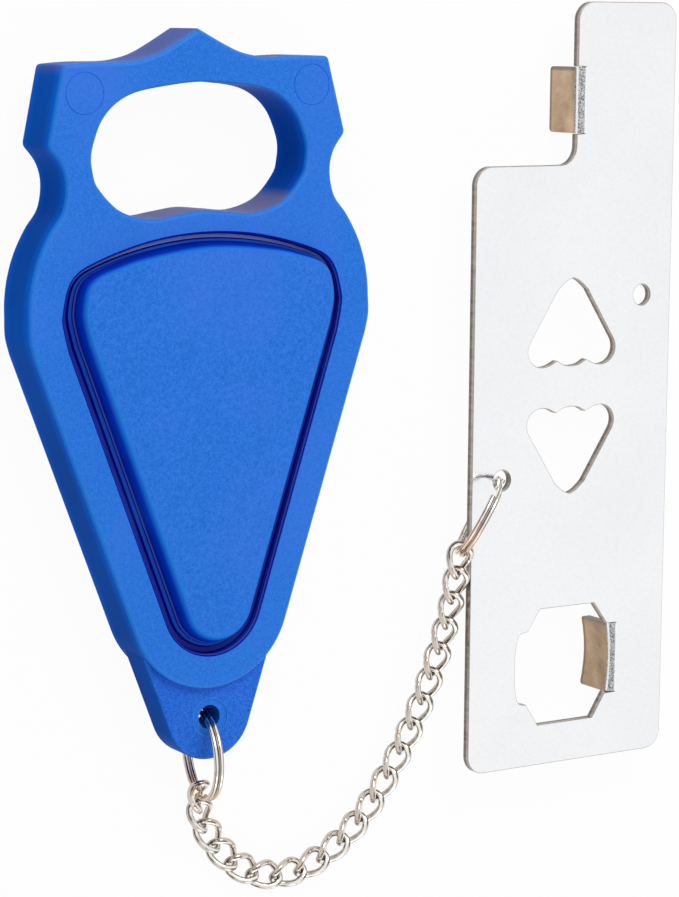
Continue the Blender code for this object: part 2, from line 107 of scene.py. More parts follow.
class Graph:
    # a node tree under construction, for materials and for geometry alike
    def __init__(self, tree):
        self.tree = tree

    def add(self, kind, settings, values, output=0):
        node = self.tree.nodes.new(kind)
        for name, value in settings.items():
            setattr(node, name, value)
        self.fill(node, values)
        return Wire(self, node.outputs[output])

    def fill(self, node, values):
        # links the wires to the sockets, and sets the rest on them
        for name, value in values.items():
            if isinstance(value, Wire):
                self.tree.links.new(value.socket, node.inputs[name])
            else:
                node.inputs[name].default_value = value

    def maths(self, operation, *terms):
        return self.add("ShaderNodeMath", {"operation": operation}, dict(enumerate(terms)))


class Paint(Graph):
    # a material with one Principled shader, whose colours, noises and tones are in its look
    def __init__(self, name, look, fixed):
        self.look = look
        self.material = bpy.data.materials.new(name)
        self.material.use_nodes = True
        super().__init__(self.material.node_tree)
        self.shader = self.tree.nodes["Principled BSDF"]
        self.fill(self.shader, fixed)
        self.place = self.add("ShaderNodeTexCoord", {}, {}, "Object")
        self.axes = [self.add("ShaderNodeSeparateXYZ", {}, {0: self.place}, k) for k in range(3)]

    def noise(self, name):
        scale, detail, rough, *stretch = self.look[name]
        spot = self.add("ShaderNodeMapping", {},
                        {"Vector": self.place, "Scale": stretch or (1, 1, 1)})
        return self.add("ShaderNodeTexNoise", {},
                        {"Vector": spot, "Scale": scale, "Detail": detail, "Roughness": rough})

    def mixed(self, share, *colours):
        # each colour is a wire, or a name in the look
        first, second = [self.look[c] if isinstance(c, str) else c for c in colours]
        return self.add("ShaderNodeMix", {"data_type": "RGBA"}, {0: share, 6: first, 7: second}, 2)

    def band(self, value, low, high, soft):
        # 1 where the value lies between low and high, with soft ends
        fall = ((high + soft - value) / soft).limited()
        return self.climb(value, low - soft, soft) * fall

    def climb(self, value, start, over):
        # 0 up to the start, and 1 once it has climbed over the rest
        return ((value - start) / over).limited()

    def around(self, name, *noises):
        # a middle value, moved by each noise as far as its own value says
        middle, *swings = self.look[name]
        return sum(((noise - 0.5) * swing for noise, swing in zip(noises, swings)), middle)

    def finished(self, colour, roughness, height, depth):
        # the material with these on its shader; the relief is the height times its depth
        bump = self.add("ShaderNodeBump", {},
                        {"Height": height, "Distance": self.look[depth], "Strength": 1})
        self.fill(self.shader, {"Base Color": colour, "Roughness": roughness, "Normal": bump})
        return self.material


# Colours are linear. A noise is its scale, detail, roughness and, for some, its stretch. A tone or
# a roughness is its middle and how far each noise moves it. A band is from where to where and its
# softness, and a climb is from where and over how much.
plasticLook = {
    "deep": (0.0, 0.115, 0.64, 1), "light": (0.034, 0.215, 0.95, 1),
    "violet": (0.07, 0.15, 0.86, 1), "rim": (0.03, 0.3, 0.96, 1), "rimShare": 0.55,
    "ledge": (0.26, 0.25, 0.43, 1), "ledgeShare": 0.8, "crownShare": 0.4,
    # the next two lines hold painted shade for the groove and the side walls, and the glint, a
    # painted reflection
    "navy": (0.0, 0.004, 0.3, 1), "wall": (0.0, 0.05, 0.62, 1), "glint": (0.38, 0.47, 1.0, 1),
    "sideDeep": (0.0, 0.075, 0.44, 1), "sideLight": (0.0, 0.17, 0.93, 1),
    "tone": (0.5, 3.6, 1, 0.6), "sideTone": (0, 0.8, 0.25), "roughness": (0.45, 0.22, 0.1),
    "grooveRoughness": (0.3, 0.1), "sideRoughness": (0.4, 0.1), "ior": 1.3, "dullIor": 1.05,
    "pitShare": 0.3, "wallGrain": 0.2, "shelfClouds": 0.3, "sideMiddleShare": 0.9,
    "grain": (3000, 3, 0.7), "cloud": (45, 3, 0.5), "pits": (1350, 1, 0.4),
    "grooveGrain": (3000, 2, 0.6), "grooveCloud": (90, 2, 0.5),
    "sideGrain": (1800, 2, 0.6), "sideCloud": (45, 2, 0.5),
    "relief": 0.00003, "grooveRelief": 0.000009, "sideRelief": 0.000012,
    "bodyEdge": (0.01035, 0.01092, 0.0002), "padEdge": (0.01325, 0.0137, 0.0002),
    "tongueFace": (0.0084, 0.0095, 0.0002), "lip": (-0.00012, 0.00006, 0.00008), "dishShare": 0.3,
    "violetAlong": (-0.046, 0.02), "violetClouds": (0.48, 1 / 3), "violetShare": 0.6,
    "wallFoot": 0.0101, "wallRise": 0.0028, "crest": (0.0127, 0.0011), "crestShare": 0.8,
    "shelf": (0.00999, 0.01022, 0.00006), "shelfShare": 0.4,
    "floorLine": (0.009444, 0.009488, 0.000012), "lowerLineShare": 0.08,
    "moatRim": (0.01055, 0.0108, 0.0001), "moatRimShare": 0.25, "upper": (0.021, 0.006),
    "sideMiddle": (0.003, 0.0075, 0.004), "sideEdge": (0.0102, 0.011, 0.0002),
    "fingerHalfWidth": 0.0213, "fingerLedge": (0.028, 0.0344, 0.0016), "crownTop": (0.057, 0.003),
}


def makeBluePlastic():
    # the moulding's faces: finely grained, clouded with violet, with a painted highlight along
    # their edges and round the tongue's eye
    look, h = plasticLook, handleSizes
    paint = Paint("bluePlastic", look, {"Metallic": 0, "IOR": look["ior"]})
    grain, cloud, pits = [paint.noise(name) for name in ("grain", "cloud", "pits")]
    across, along, height = paint.axes
    tone = paint.around("tone", grain, pits, cloud).limited()
    colour = paint.mixed(tone, "deep", "light")
    body = paint.climb(along, *look["violetAlong"])
    violet = paint.climb(cloud, *look["violetClouds"]) * body * look["violetShare"]
    colour = paint.mixed(violet, colour, "violet")
    # painted highlight: lighter along the body's and the pad's edges
    rim = paint.band(height, *look["bodyEdge"]) + paint.band(height, *look["padEdge"])
    # painted highlight round the tongue's eye: a light line on the dish's lip and a fainter light
    # inside it
    fromEye = along - (h["crown"] - h["holeReach"])
    eye = (across * across + fromEye * fromEye) ** 0.5
    inner, outer, soft = look["lip"]
    lip = paint.band(eye, h["dishRadius"] + inner, h["dishRadius"] + outer, soft)
    dish = lip + (eye < h["dishRadius"]) * look["dishShare"]
    dish = dish * paint.band(height, *look["tongueFace"])
    colour = paint.mixed((rim.limited() * look["rimShare"] + dish).limited(), colour, "rim")
    roughness = paint.around("roughness", grain, cloud)
    skin = grain * (1 - look["pitShare"]) + pits * look["pitShare"]
    return paint.finished(colour, roughness, skin, "relief")


def makeGroovePlastic():
    # the groove is deep blue, with painted shade darkening it towards its floor, painted highlights
    # along the pad's edge and on a shelf of its wall, and painted glints along its floor and the
    # top of its outer wall
    look = plasticLook
    paint = Paint("grooveBluePlastic", look, {"Metallic": 0, "IOR": look["dullIor"]})
    grain, cloud = paint.noise("grooveGrain"), paint.noise("grooveCloud")
    along, height = paint.axes[1:]
    # painted shade: darker down towards the groove's floor
    climb = (height - look["wallFoot"]) / look["wallRise"] + (grain - 0.5) * look["wallGrain"]
    colour = paint.mixed(climb.limited(), "navy", "wall")
    # painted highlight along the pad's top edge
    crest = paint.climb(height, *look["crest"])
    colour = paint.mixed(crest * look["crestShare"], colour, "rim")
    # painted highlight on the shelf of the pad's wall, varied by clouds
    shelf = paint.band(height, *look["shelf"]) * look["shelfShare"]
    colour = paint.mixed(shelf + (cloud - 0.5) * look["shelfClouds"], colour, "light")
    # painted reflection lines: along the floor, mostly on its upper part, and along the top of the
    # outer wall on its lower part
    upper = paint.climb(along, *look["upper"])
    line = paint.band(height, *look["floorLine"])
    rim = paint.band(height, *look["moatRim"]) * (1 - upper)
    line = line * (upper * (1 - look["lowerLineShare"]) + look["lowerLineShare"])
    glint = (line + rim * look["moatRimShare"]).limited()
    colour = paint.mixed(glint, colour, "glint")
    return paint.finished(colour, paint.around("grooveRoughness", grain), grain, "grooveRelief")


def makeSidePlastic():
    # the moulding's side walls: smoother than its faces, and darker than them by painted shade
    look = plasticLook
    paint = Paint("sideBluePlastic", look, {"Metallic": 0, "IOR": look["dullIor"]})
    grain, cloud = paint.noise("sideGrain"), paint.noise("sideCloud")
    across, along, height = paint.axes
    # painted shade: darkest in the middle of the wall, lighter towards both edges
    middle = paint.band(height, *look["sideMiddle"])
    tone = 1 - middle * look["sideMiddleShare"] + paint.around("sideTone", cloud, grain)
    colour = paint.mixed(tone.limited(), "sideDeep", "sideLight")
    # painted reflection: greyish low in the finger hole and at the crown
    hole = paint.band(along, *look["fingerLedge"]) * (abs(across) < look["fingerHalfWidth"])
    crown = paint.climb(along, *look["crownTop"])
    ledge = hole * look["ledgeShare"] + crown * look["crownShare"]
    colour = paint.mixed(ledge, colour, "ledge")
    # painted highlight along the wall's top edge
    edge = paint.band(height, *look["sideEdge"])
    colour = paint.mixed(edge * look["rimShare"], colour, "rim")
    return paint.finished(colour, paint.around("sideRoughness", grain), grain, "sideRelief")


# Depths are measured back from the sheet's front.
steelLook = {
    "sheetGrain": (1500, 3, 0.6), "sheetCloud": (38, 4, 0.55),
    "torn": (1100, 3, 0.6, 1, 1, 0.25), "clawGrain": (1700, 2, 0.6),
    "clawCloud": (190, 3, 0.5), "skin": (3600, 3, 0.6),
    "dull": (0.81, 0.82, 0.845, 1), "bright": (0.93, 0.935, 0.95, 1),
    "cutDark": (0.12, 0.1, 0.085, 1), "cutLight": (0.55, 0.49, 0.43, 1),
    # the claws' browns are a painted dark reflection
    "clawDark": (0.2, 0.13, 0.08, 1), "clawLight": (0.64, 0.46, 0.31, 1),
    "bendDark": (0.1, 0.1, 0.11, 1), "bendLight": (0.66, 0.66, 0.67, 1),
    "oil": (0.15, 0.155, 0.15, 1), "sheetTone": (0.6, 0.8, 0.9), "cutTone": (0.22, 0.9),
    "clawTone": (0.66, 1.4, 0.4), "bendTone": (0.5, 4), "lowerDarker": 0.28,
    "topWidth": 0.0005, "topSoft": 0.0004, "oilShares": {"upperClaw": 0.75, "lowerClaw": 0.45},
    "roughness": (0.17, 0.16, 0.14), "clawRoughness": (0.3, 0.16), "bendRoughness": (0.4, 0.3),
    "cutRoughness": (0.46, 0.2), "burnishedSmoother": 0.16,
    "burnished": 0.00055, "burnishedSoft": 0.0002, "tipWidth": 0.0005, "tipSoft": 0.0003,
    "burnishedShare": 0.45, "tipShare": 0.7,
    "sheetEnd": (0.00001, 0.00003), "shine": (0.00068, 0.00092, 0.0001), "brown": (0.001, 0.0004),
    "skinShift": 0.00012,
    "sheetRelief": 0.000012, "cutRelief": 0.00004, "clawRelief": 0.00001, "bendRelief": 0.00003,
}


def makeSheetSteel():
    # satin sheet, faintly clouded
    look = steelLook
    paint = Paint("satinSheetSteel", look, {"Metallic": 1})
    grain, cloud = paint.noise("sheetGrain"), paint.noise("sheetCloud")
    tone = paint.around("sheetTone", grain, cloud).limited()
    colour = paint.mixed(tone, "dull", "bright")
    return paint.finished(colour, paint.around("roughness", grain, cloud), grain, "sheetRelief")


def makeCutSteel():
    # the sheared wall of the sheet: a burnished band near the front, torn and darker behind it
    look, front = steelLook, plateSizes["front"]
    paint = Paint("shearedSteelEdge", look, {"Metallic": 1})
    torn = paint.noise("torn")
    depth = paint.band(paint.axes[2], front - look["burnished"], front, look["burnishedSoft"])
    tone = (paint.around("cutTone", torn) + depth * look["burnishedShare"]).limited()
    colour = paint.mixed(tone, "cutDark", "cutLight")
    roughness = paint.around("cutRoughness", torn) - depth * look["burnishedSmoother"]
    return paint.finished(colour, roughness, torn, "cutRelief")


def clawBrownReflection(paint, grain):
    # a painted dark reflection in brown, darker on the lower claw by painted shade, and dark grey
    # along the claws' tops
    look, s = steelLook, plateSizes
    cloud = paint.noise("clawCloud")
    across, along = paint.axes[:2]
    left, top = s["corner"]
    drop = (across - left) * math.sin(s["turn"]) - (along - top) * math.cos(s["turn"])
    lower = 1 - (drop < s["mirrorDrop"])
    # painted shade: the lower claw darker
    tone = paint.around("clawTone", cloud, grain) - lower * look["lowerDarker"]
    colour = paint.mixed(tone.limited(), "clawDark", "clawLight")
    # darker grey along the claws' tops
    tops = [paint.band(drop, s[claw][0], s[claw][0] + look["topWidth"], look["topSoft"]) * share
            for claw, share in look["oilShares"].items()]
    return paint.mixed(sum(tops), colour, "oil")


def makeClawSteel():
    # the claws' flat faces: smooth, with a painted dark reflection at their tips
    look, s = steelLook, plateSizes
    paint = Paint("pressedClawSteel", look, {"Metallic": 1})
    grain = paint.noise("clawGrain")
    colour = clawBrownReflection(paint, grain)
    down = s["front"] - paint.axes[2]
    # painted dark reflection, darkest at the tips, furthest back from the sheet
    tip = paint.band(down, s["clawDepth"] - look["tipWidth"], s["clawDepth"], look["tipSoft"])
    colour = paint.mixed(tip * look["tipShare"], colour, "clawDark")
    return paint.finished(colour, paint.around("clawRoughness", grain), grain, "clawRelief")


def makeBendSteel():
    # over a claw's bend: rough like an orange's skin, then a painted highlight line, then the
    # claws' painted brown reflection
    look = steelLook
    paint = Paint("stretchedBendSteel", look, {"Metallic": 1})
    skin = paint.noise("skin")
    down = plateSizes["front"] - paint.axes[2] + (skin - 0.5) * look["skinShift"]
    tone = paint.around("bendTone", skin).limited()
    colour = paint.mixed(tone, "bendDark", "bendLight")
    sheet = 1 - paint.climb(down, *look["sheetEnd"])
    # painted highlight along the bend
    shine = paint.band(down, *look["shine"])
    colour = paint.mixed((sheet + shine).limited(), colour, "bright")
    brown = paint.climb(down, *look["brown"])
    colour = paint.mixed(brown, colour, clawBrownReflection(paint, skin))
    return paint.finished(colour, paint.around("bendRoughness", skin), skin, "bendRelief")


# The crests are painted highlights and the shades painted shade, both bands across the wire.
nickelLook = {
    # dark is the painted shade, bright the painted highlight, copper the rings' painted warm
    # reflection and the links' warm tint
    "dark": (0.1, 0.075, 0.055, 1), "middle": (0.6, 0.55, 0.49, 1),
    "bright": (0.88, 0.85, 0.81, 1), "copper": (0.68, 0.42, 0.26, 1),
    "roughness": (0.1, 0.05), "shadeRougher": 0.06, "relief": 0.000003, "fine": (4200, 2, 0.6),
    "linkStreak": (900, 2, 0.5, 0.35, 1, 1), "linkCloud": (260, 2, 0.4),
    "ringStreak": (500, 2, 0.5), "linkCrest": (-0.1, 0.07, 0.05),
    "linkShade": (0.12, 0.17, 0.03), "linkShadeShare": 0.9, "ringCrest": (-1, 0.24, 0.15),
    "ringShade": (0.44, 0.62, 0.12), "ringShadeShare": 0.85,
    "streakOver": (0.4, 1 / 6), "cloudOver": (0.56, 1 / 6), "cloudShare": 0.45,
    "rubbedOver": (0.58, 1 / 6), "rubbedShare": 0.5, "linkWander": 0.12, "ringWander": 0.15,
    "linkWarmth": 4, "linkWarm": 0.3, "ringWarmFrom": -0.25, "ringWarmth": -1.5, "ringWarm": 0.5,
}


def showNickel(paint, crest, shade, warm):
    # a painted highlight along the top of the wire and painted shade in dark streaks beside it,
    # over a middle tone
    look = nickelLook
    fine = paint.noise("fine")
    colour = paint.mixed(crest, "middle", "bright")
    colour = paint.mixed(shade, colour, "dark")
    colour = paint.mixed(warm, colour, "copper")
    roughness = paint.around("roughness", fine) + shade * look["shadeRougher"]
    return paint.finished(colour, roughness, fine, "relief")


def makeLinkNickel():
    # across is 0 along the middle of the wire, all round the link, and grows to its sides
    look, k = nickelLook, linkSizes
    paint = Paint("brightLinkWire", look, {"Metallic": 1})
    streak, cloud = paint.noise("linkStreak"), paint.noise("linkCloud")
    power = 2 / k["fullness"]
    x, y, z = paint.axes
    swell = (abs(x) / k["halfLength"]) ** power
    swell = swell + ((y * y + z * z) ** 0.5 / k["halfWidth"]) ** power
    across = abs(swell ** (1 / power) - 1 + (streak - 0.5) * look["linkWander"])
    # painted highlight along the middle of the wire, and painted shade in streaks beside it
    crest = paint.band(across, *look["linkCrest"])
    shade = paint.band(across, *look["linkShade"]) * paint.climb(streak, *look["streakOver"])
    stain = paint.climb(cloud, *look["cloudOver"]) * look["cloudShare"]
    shade = (shade * look["linkShadeShare"] + stain).limited()
    warm = ((0.5 - cloud) * look["linkWarmth"]).limited() * look["linkWarm"]
    return showNickel(paint, crest, shade, warm)


def makeRingNickel():
    # a painted highlight on top of each turn between two lines of painted shade, random patches of
    # painted shade, and away from its hole a painted warm reflection
    look, ring = nickelLook, ringSizes
    paint = Paint("brightRingWire", look, {"Metallic": 1})
    streak = paint.noise("ringStreak")
    x, y, z = paint.axes
    level = abs(abs(z) - ring["spacing"] / 2) / (ring["wire"] / 2)
    level = level + (streak - 0.5) * look["ringWander"]
    crest = paint.band(level, *look["ringCrest"])
    # painted shade in random dark patches
    patchyShade = paint.climb(streak, *look["rubbedOver"]) * look["rubbedShare"]
    lines = paint.band(level, *look["ringShade"]) * look["ringShadeShare"]
    shade = (lines + patchyShade).limited()
    # painted warm reflection, away from the ring's hole
    warm = (x / ring["radius"] - look["ringWarmFrom"]) * look["ringWarmth"] + (streak - 0.5)
    return showNickel(paint, crest, shade, warm.limited() * look["ringWarm"])


# How finely round things are cut: steps along a run or a bend, sides of a hole.
fineness = {"curve": 24, "corner": 5, "edge": 5, "end": 20, "crown": 28, "flank": 44,
            "moat": 48, "pad": 48, "moatEdge": 4, "finger": 140, "hole": 48, "pin": 64,
            "plateCorner": 10, "claw": 6, "clawEnd": 5, "clawBend": 8, "bite": 40,
            "cutoutSide": 14, "cutoutLobes": 36, "cutoutMiddleLobe": 8}


def smoothRun(points, steps, closed=False, mirrored=False):
    # a smooth curve through the points, read at equal steps of its length; a mirrored one starts
    # on the middle line and crosses it level
    given = np.array(points, float)
    if closed:
        padded = np.vstack([given[-1], given, given[:2]])
    else:
        before = given[1] * (-1, 1) if mirrored else 2 * given[0] - given[1]
        padded = np.vstack([before, given, 2 * given[-1] - given[-2]])
    fine = []
    for a, b, c, d in zip(padded, padded[1:], padded[2:], padded[3:]):
        for t in np.linspace(0, 1, fineness["curve"], endpoint=False):
            fine.append(b + (c - a) * t / 2 + (2 * a - 5 * b + 4 * c - d) * t * t / 2
                        + (3 * b - a - 3 * c + d) * t ** 3 / 2)
    fine.append(given[0] if closed else given[-1])
    fine = np.array(fine)
    travelled = np.concatenate([[0], np.cumsum(np.linalg.norm(np.diff(fine, axis=0), axis=1))])
    stops = np.linspace(0, travelled[-1], steps + 1)
    run = np.stack([np.interp(stops, travelled, fine[:, k]) for k in range(2)], axis=1)
    return [tuple(p) for p in (run[:-1] if closed else run)]


def roundedJoin(before, corner, after, reach):
    # two runs that meet at a corner, as one run with the corner rounded
    steps = fineness["corner"]
    corner = Vector(corner)
    before, after = [[p for p in run if (Vector(p) - corner).length > 1.1 * reach]
                     for run in (before, after)]
    start, end = [corner + (Vector(p) - corner).normalized() * reach
                  for p in (before[-1], after[0])]
    bend = [tuple(start * (1 - t) ** 2 + corner * 2 * t * (1 - t) + end * t * t)
            for t in (k / steps for k in range(steps + 1))]
    return before + bend + after


def offsetLoop(points, distance):
    # a closed outline moved outwards, each point along its own normal
    ring = np.array(points, float)
    ahead = np.roll(ring, -1, axis=0) - ring
    area = (ring[:, 0] * np.roll(ring[:, 1], -1) - np.roll(ring[:, 0], -1) * ring[:, 1]).sum()
    normals = np.stack([ahead[:, 1], -ahead[:, 0]], axis=1) * math.copysign(1, area)
    normals /= np.linalg.norm(normals, axis=1)[:, None]
    earlier = np.roll(normals, 1, axis=0)
    both = (normals + earlier) / (1 + (normals * earlier).sum(axis=1))[:, None]
    return ring + both * distance


def quarterTurns(steps):
    return [math.pi / 2 * step / steps for step in range(steps + 1)]


def arc(centre, radius, angles):
    return [(centre[0] + radius * math.cos(a), centre[1] + radius * math.sin(a)) for a in angles]


def circleLoop(centre, radius, sides=fineness["hole"]):
    return arc(centre, radius, [2 * math.pi * k / sides for k in range(sides)])


def mirroredLoop(half):
    # a loop from its right half, which runs down from the middle line and back to it
    return list(half) + [(-x, y) for x, y in reversed(half[1:-1])]


def addWall(mesh, near, far, material, skipped=()):
    # the faces between two rings of corners, but for those between skipped ones
    for k in range(len(near)):
        j = (k + 1) % len(near)
        if k not in skipped or j not in skipped:
            mesh.faces.new((near[k], near[j], far[j], far[k])).material_index = material


def lofted(name, rings, materials=(), walls=0, top=0):
    # a closed mesh through loops of (x, y) points, each at its height; walls is the number of the
    # material for the walls and the lower cap, and top the upper cap's
    mesh = bmesh.new()
    rows = [[mesh.verts.new((p[0], p[1], z)) for p in loop] for loop, z in rings]
    for low, high in zip(rows, rows[1:]):
        addWall(mesh, low, high, walls)
    mesh.faces.new(rows[0]).material_index = walls
    mesh.faces.new(rows[-1]).material_index = top
    bmesh.ops.recalc_face_normals(mesh, faces=mesh.faces)
    return addPiece(name, mesh, materials)


def linked(name, data):
    # a new object in the scene
    made = bpy.data.objects.new(name, data)
    bpy.context.scene.collection.objects.link(made)
    return made


def addPiece(name, mesh, materials=()):
    data = bpy.data.meshes.new(name)
    for material in materials:
        data.materials.append(material)
    mesh.to_mesh(data)
    mesh.free()
    return linked(name, data)


def wallRings(outline, low, high, radius, outwards=-1):
    # an upright wall whose two edges are rounded, inwards for a body and outwards for a cutter
    lower = [(offsetLoop(outline, outwards * radius * (1 - math.sin(turn))),
              low + radius * (1 - math.cos(turn))) for turn in quarterTurns(fineness["edge"])]
    return lower + [(loop, low + high - z) for loop, z in reversed(lower)]


def carve(piece, tool, operation="DIFFERENCE"):
    change = piece.modifiers.new(tool.name, "BOOLEAN")
    change.operation = operation
    change.solver = "EXACT"
    change.object = tool
    settle(piece)
    bpy.data.objects.remove(tool)


def settle(piece):
    # what the modifiers show becomes the piece's own plain mesh
    graph = bpy.context.evaluated_depsgraph_get()
    plain = bpy.data.meshes.new_from_object(piece.evaluated_get(graph))
    piece.modifiers.clear()
    piece.data = plain


def shade(piece, sharpOver):
    # smooth across edges up to the angle in degrees, with the large faces leading
    piece.data.shade_smooth()
    piece.data.set_sharp_from_angle(angle=math.radians(sharpOver))
    even = piece.modifiers.new("evenNormals", "WEIGHTED_NORMAL")
    even.keep_sharp = True
    even.weight = 60
    settle(piece)


def dress(piece, body):
    # each piece rides on the body that it replaces
    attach(piece, body)
    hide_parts(body)


# Outlines are shares of the half width across and of the length down from the crown's peak, on
# the right half only. padWallShares go across the groove, from its outer wall to the pad's edge,
# and up from its floor to the pad's top.
handleSizes = {
    "halfWidth": 0.0335, "length": 0.1286, "thickness": 0.011, "crown": 0.0643,
    "edgeRound": 0.0008, "cornerReach": 0.0007, "endRadius": 0.0158, "endReach": 0.09945,
    "rimWidth": 0.0062, "moatDepth": 0.0016, "moatEdgeRound": 0.0004, "moatEndWidth": 0.0037,
    "padRise": 0.0028, "tongueThickness": 0.007, "tongueEdgeRound": 0.0006,
    "tongueEndRadius": 0.0084, "holeRadius": 0.00215, "holeReach": 0.1209,
    "dishRadius": 0.0034, "dishDepth": 0.0004, "dishRound": 0.0002,
    "pinPlace": (0.0222, 0.01025), "pinRadius": 0.00345, "pinGroove": 0.00016,
    "pinDepth": 0.00012, "overrun": 0.001, "sharpOver": 32, "uprightUnder": 0.5,
    "crownShares": [(0, 0), (0.143, 0.0202), (0.239, 0.0319), (0.331, 0.0381), (0.427, 0.0408),
                    (0.621, 0.0401), (0.772, 0.042)],
    "flankShares": [(0.867, 0.1466), (0.797, 0.1711), (0.773, 0.1987), (0.797, 0.2317),
                    (0.87, 0.2574), (0.935, 0.288), (0.976, 0.3188), (0.996, 0.348), (1, 0.373),
                    (1, 0.398), (0.979, 0.4222)],
    "fingerShares": [(0, 0.0705), (0.233, 0.0754), (0.382, 0.0824), (0.484, 0.0953),
                     (0.558, 0.1143), (0.6, 0.1358), (0.628, 0.161), (0.622, 0.183),
                     (0.594, 0.2037), (0.475, 0.2348), (0.307, 0.2481), (0.149, 0.2446),
                     (0, 0.2407)],
    "moatShares": [(0, 0.2722), (0.316, 0.2795), (0.624, 0.3017), (0.761, 0.3235),
                   (0.813, 0.3663), (0.809, 0.3872), (0.785, 0.416)],
    "padShares": [(0, 0.2916), (0.367, 0.3009), (0.528, 0.3103), (0.639, 0.3196),
                  (0.693, 0.3313), (0.716, 0.3523), (0.716, 0.3733), (0.69, 0.402)],
    "padWallShares": [(0.04, 0), (0.07, 0.01), (0.28, 0.02), (0.34, 0.03), (0.35, 0.07),
                      (0.38, 0.135), (0.45, 0.155), (0.52, 0.19),
                      (0.57, 0.27), (0.62, 0.42), (0.68, 0.6), (0.75, 0.76), (0.83, 0.88),
                      (0.91, 0.96), (1, 1)],
}


def handleRun(name):
    # an outline's shares as places in metres
    h = handleSizes
    return [(u * h["halfWidth"], h["crown"] - v * h["length"]) for u, v in h[name + "Shares"]]


def handleCurve(name, mirrored=False):
    return smoothRun(handleRun(name), fineness[name], mirrored=mirrored)


def roundEnd(lean, centre, radius):
    # the arc from an angle down to its lowest point, with its centre on the middle line
    steps = fineness["end"]
    angles = [lean - (math.pi / 2 + lean) * k / steps for k in range(steps + 1)]
    return arc((0, centre), radius, angles)


def taperAndEnd(last, radius):
    # the body's round lower end, from where the straight taper from a point touches it
    h = handleSizes
    centre = Vector((0, h["crown"] - h["endReach"]))
    away = Vector(last) - centre
    lean = math.atan2(away.y, away.x) - math.acos(radius / away.length)
    return roundEnd(lean, centre.y, radius)


def tongueLoop(flankEnd):
    # the tongue's sides run on in line with the body's taper
    h = handleSizes
    taper = Vector(taperAndEnd(flankEnd, h["endRadius"])[0])
    slope = (Vector(flankEnd) - taper).normalized()
    end = roundEnd(math.atan2(-slope.x, slope.y),
                   h["crown"] - h["length"] + h["tongueEndRadius"], h["tongueEndRadius"])
    root = h["crown"] - h["endReach"]
    climb = (root - end[0][1]) / slope.y
    return mirroredLoop([(0, root), (end[0][0] + slope.x * climb, root)] + end)


def makeHandle(materials):
    # materials: the faces' first, then the groove's and the side walls'
    h = handleSizes
    groovePaint, sidePaint = 1, 2
    top = h["thickness"]
    crown, flank = handleCurve("crown"), handleCurve("flank")
    half = roundedJoin(crown, crown[-1], flank[:1], h["cornerReach"])[:-1]
    half = roundedJoin(half, flank[0], flank, h["cornerReach"])
    outline = mirroredLoop(half + taperAndEnd(flank[-1], h["endRadius"]))
    handle = lofted("handleMoulding", wallRings(outline, 0, top, h["edgeRound"]), materials)

    low = (top - h["tongueThickness"]) / 2
    high = low + h["tongueThickness"]
    carve(handle, lofted("tongue", wallRings(tongueLoop(flank[-1]), low, high,
                                             h["tongueEdgeRound"])), "UNION")

    moatEnd = h["endRadius"] - h["rimWidth"]
    moatTop, padTop = handleCurve("moat", mirrored=True), handleCurve("pad", mirrored=True)
    moat = mirroredLoop(moatTop + taperAndEnd(moatTop[-1], moatEnd))
    pad = mirroredLoop(padTop + taperAndEnd(padTop[-1], moatEnd - h["moatEndWidth"]))
    floor = top - h["moatDepth"]
    pocket = [(moat, floor)]
    for turn in quarterTurns(fineness["moatEdge"]):
        pocket.append((offsetLoop(moat, h["moatEdgeRound"] * (1 - math.cos(turn))),
                       top - h["moatEdgeRound"] * (1 - math.sin(turn))))
    pocket.append((offsetLoop(moat, h["moatEdgeRound"]), top + h["overrun"]))
    carve(handle, lofted("moat", pocket, materials, walls=groovePaint, top=groovePaint))
    outer, inner = np.array(moat), np.array(pad)
    rings = [(outer + (inner - outer) * h["padWallShares"][0][0], top / 2)]
    for across, rise in h["padWallShares"]:
        rings.append((outer + (inner - outer) * across,
                      floor + (top + h["padRise"] - floor) * rise))
    carve(handle, lofted("pad", rings, materials, walls=groovePaint), "UNION")

    finger = smoothRun(mirroredLoop(handleRun("finger")), fineness["finger"], closed=True)
    cutter = wallRings(finger, 0, top, h["edgeRound"], outwards=1)
    cutter = [(cutter[0][0], -h["overrun"])] + cutter + [(cutter[-1][0], top + h["overrun"])]
    carve(handle, lofted("fingerHole", cutter))

    eye = (0, h["crown"] - h["holeReach"])
    bore, dish = circleLoop(eye, h["holeRadius"]), circleLoop(eye, h["dishRadius"])
    carve(handle, lofted("eye", [(bore, -h["overrun"]), (bore, top)]))
    for face, side in ((low, -1), (high, 1)):
        deep = face - side * h["dishDepth"]
        rings = [(circleLoop(eye, h["dishRadius"] - h["dishRound"]), deep),
                 (dish, deep + side * h["dishRound"]), (dish, face + side * h["overrun"])]
        carve(handle, lofted("dish", rings))

    # the witness rings that the mould's ejector pins leave in the two shoulders
    for side in (-1, 1):
        place = (side * h["pinPlace"][0], h["crown"] - h["pinPlace"][1])
        outer, inner = [circleLoop(place, h["pinRadius"] + wider, fineness["pin"])
                        for wider in (h["pinGroove"], 0)]
        groove = lofted("pin", [(outer, top - h["pinDepth"]), (outer, top + h["overrun"])])
        core = lofted("pinCore", [(inner, top - h["overrun"]), (inner, top + 2 * h["overrun"])])
        carve(groove, core)
        carve(handle, groove)
    for face in handle.data.polygons:
        if abs(face.normal.z) < h["uprightUnder"] and face.material_index == 0:
            face.material_index = sidePaint
    shade(handle, h["sharpOver"])
    dress(handle, "handle")


